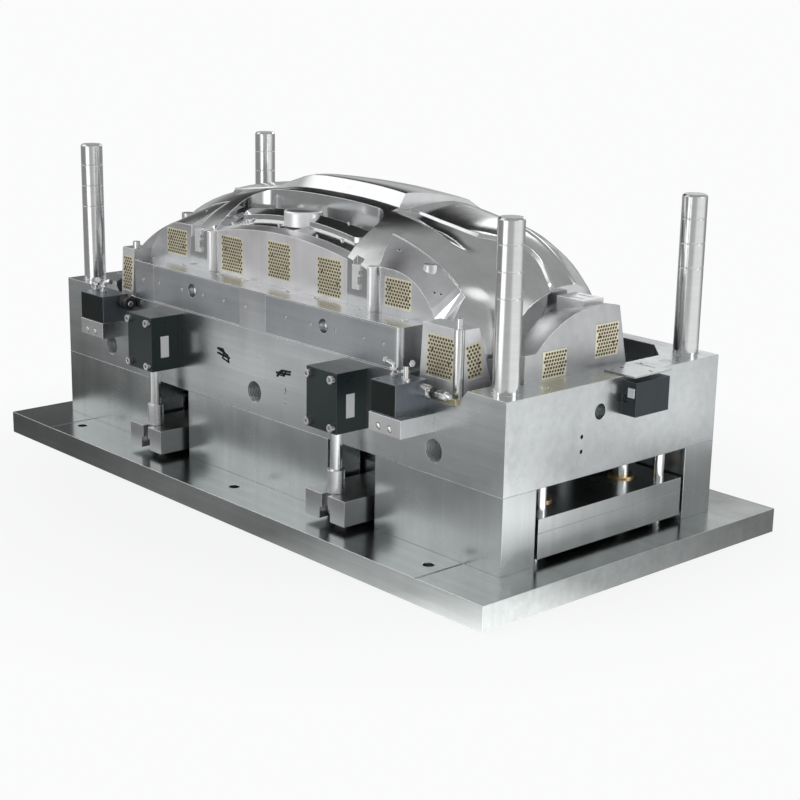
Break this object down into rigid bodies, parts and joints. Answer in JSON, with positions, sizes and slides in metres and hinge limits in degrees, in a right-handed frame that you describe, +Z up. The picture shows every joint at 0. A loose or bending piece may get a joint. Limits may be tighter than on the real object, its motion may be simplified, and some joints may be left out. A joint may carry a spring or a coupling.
{
  "type": "injection mould",
  "caption": "Core half of a large injection mould: arched core in a deep plate, angled side lifters, guide pillars and hydraulically lifted ejector plates.",
  "frame": {"origin": "middle of the clamp plate, on its underside", "axes": "+X along the mould towards the end with the junction box, -Y is the front with the parting bar and switch boxes, +Z up along the guide pillars"},
  "size_m": [2.59, 1.345, 1.115],
  "materials": {
    "ground_steel": "ground flat, fine parallel grind marks",
    "machined_steel": "milled and stoned, softly reflective",
    "polished_steel": "hardened, ground and polished",
    "dark_steel": "darker hardened insert steel, fine ground",
    "plugged_bronze": "satin bronze with graphite plugs",
    "plain_bronze": "satin turned bronze",
    "fastener_steel": "bright alloy steel",
    "cylinder_paint": "satin dark green-black paint",
    "box_plastic": "matt near-black moulded plastic",
    "bright_zinc": "bright plated steel"
  },
  "bodies": {
    "mould_half": {"clamp_plate": "ground_steel", "spacer_front_left": "ground_steel", "spacer_front_middle": "ground_steel", "spacer_front_right": "ground_steel", "spacer_rear_left": "ground_steel", "spacer_rear_middle": "ground_steel", "spacer_rear_right": "ground_steel", "plate_screws": "fastener_steel", "core_plate": "ground_steel", "core_crown": "machined_steel", "crown_boss": "machined_steel", "front_block": "machined_steel", "front_posts": "polished_steel", "lock_inserts": "polished_steel", "parting_bar": "ground_steel", "bar_insert_left": "dark_steel", "bar_insert_right": "dark_steel", "bar_screws": "fastener_steel", "corner_block_left": "machined_steel", "corner_block_right": "machined_steel", "corner_pins": "polished_steel", "end_block_left": "machined_steel", "end_block_right": "machined_steel", "end_pads": "machined_steel", "wear_plates_front": "plugged_bronze", "wear_plates_corner": "plugged_bronze", "wear_plates_end": "plugged_bronze", "guide_pillar_front_left": "polished_steel", "guide_pillar_front_right": "polished_steel", "guide_pillar_rear_left": "polished_steel", "guide_pillar_rear_right": "polished_steel", "lifter_bushes": "plain_bronze", "ejector_guide_pins": "polished_steel", "support_pillars": "machined_steel", "cylinder_front_left": "cylinder_paint", "cylinder_front_right": "cylinder_paint", "cylinder_rear_left": "cylinder_paint", "cylinder_rear_right": "cylinder_paint", "cylinder_screws": "fastener_steel", "switch_boxes": "box_plastic", "box_brackets": "bright_zinc", "box_connectors": "fastener_steel", "junction_box": "box_plastic", "junction_cover": "bright_zinc"},
    "ejector_set": {"ejector_base_plate": "ground_steel", "ejector_retainer_plate": "ground_steel", "stop_buttons": "polished_steel", "return_pins": "polished_steel", "ejector_pins": "polished_steel", "ejector_guide_bushes": "plain_bronze", "piston_rods": "polished_steel", "rod_couplings": "polished_steel", "lift_blocks": "machined_steel", "lifter_shoes": "machined_steel"},
    "lifter_left": {"lifter_left": "machined_steel", "lifter_rod_left": "polished_steel", "lifter_wear_plate_left": "plugged_bronze"},
    "lifter_right": {"lifter_right": "machined_steel", "lifter_rod_right": "polished_steel", "lifter_wear_plate_right": "plugged_bronze"}
  },
  "joints": [
    {"name": "ejector_stroke", "type": "slide", "parent": "mould_half", "child": "ejector_set", "axis": [0, 0, 1], "range_m": [0, 0.085]},
    {"name": "lifter_left_slide", "type": "slide", "parent": "mould_half", "child": "lifter_left", "axis": [0.1045, 0, 0.9945], "range_m": [0, 0.0856]},
    {"name": "lifter_right_slide", "type": "slide", "parent": "mould_half", "child": "lifter_right", "axis": [-0.1045, 0, 0.9945], "range_m": [0, 0.0856]}
  ],
  "couplings": [
    {"joint": "lifter_left_slide", "follows": "ejector_stroke", "ratio": 1.0055},
    {"joint": "lifter_right_slide", "follows": "ejector_stroke", "ratio": 1.0055}
  ]
}
